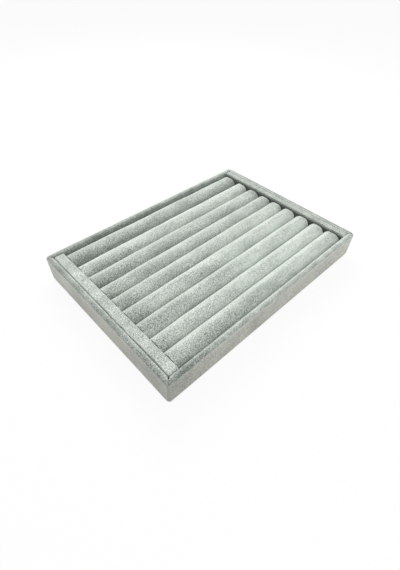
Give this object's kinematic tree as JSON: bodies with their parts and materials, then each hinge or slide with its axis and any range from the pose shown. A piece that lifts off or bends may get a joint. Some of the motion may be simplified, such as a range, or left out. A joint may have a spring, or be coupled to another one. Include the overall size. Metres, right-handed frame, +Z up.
{
  "type": "velvet ring display tray",
  "caption": "Shallow velvet-wrapped tray with a lift-out insert of padded rolls side by side; finger rings stand in the grooves between the rolls.",
  "frame": {"origin": "middle of the underside, on the surface that the tray stands on", "axes": "+X along the rolls towards the narrow end bar, +Y towards the back wall, +Z up"},
  "size_m": [0.24, 0.17, 0.0275],
  "materials": {
    "roll_velvet": "short-pile pale grey velvet with a fine fleck, brushed along the rolls",
    "tray_velvet": "short-pile grey velvet with a coarser fleck, glued flat over the walls",
    "floor_velvet": "short-pile grey velvet, glued flat",
    "underside_felt": "dense dark grey felt",
    "fibreboard": "raw fibreboard",
    "greyboard": "raw grey board",
    "foam": "open-cell white foam"
  },
  "bodies": {
    "tray": {"base_board": "fibreboard", "wall_front": "fibreboard", "wall_back": "fibreboard", "wall_left": "fibreboard", "wall_right": "fibreboard", "wrap_front": "tray_velvet", "wrap_back": "tray_velvet", "wrap_left": "tray_velvet", "wrap_right": "tray_velvet", "floor_lining": "floor_velvet", "underside_sheet": "underside_felt"},
    "insert": {"insert_board": "greyboard", "left_bar_core": "fibreboard", "right_bar_core": "fibreboard", "left_bar_cover": "roll_velvet", "right_bar_cover": "roll_velvet", "roll_core_1": "foam", "roll_core_2": "foam", "roll_core_3": "foam", "roll_core_4": "foam", "roll_core_5": "foam", "roll_core_6": "foam", "roll_core_7": "foam", "roll_core_8": "foam", "roll_core_9": "foam", "roll_sleeve_1": "roll_velvet", "roll_sleeve_2": "roll_velvet", "roll_sleeve_3": "roll_velvet", "roll_sleeve_4": "roll_velvet", "roll_sleeve_5": "roll_velvet", "roll_sleeve_6": "roll_velvet", "roll_sleeve_7": "roll_velvet", "roll_sleeve_8": "roll_velvet", "roll_sleeve_9": "roll_velvet"}
  },
  "joints": [
    {"name": "insert_lift", "type": "slide", "parent": "tray", "child": "insert", "axis": [0, 0, 1], "range_m": [0, 0.04]}
  ]
}
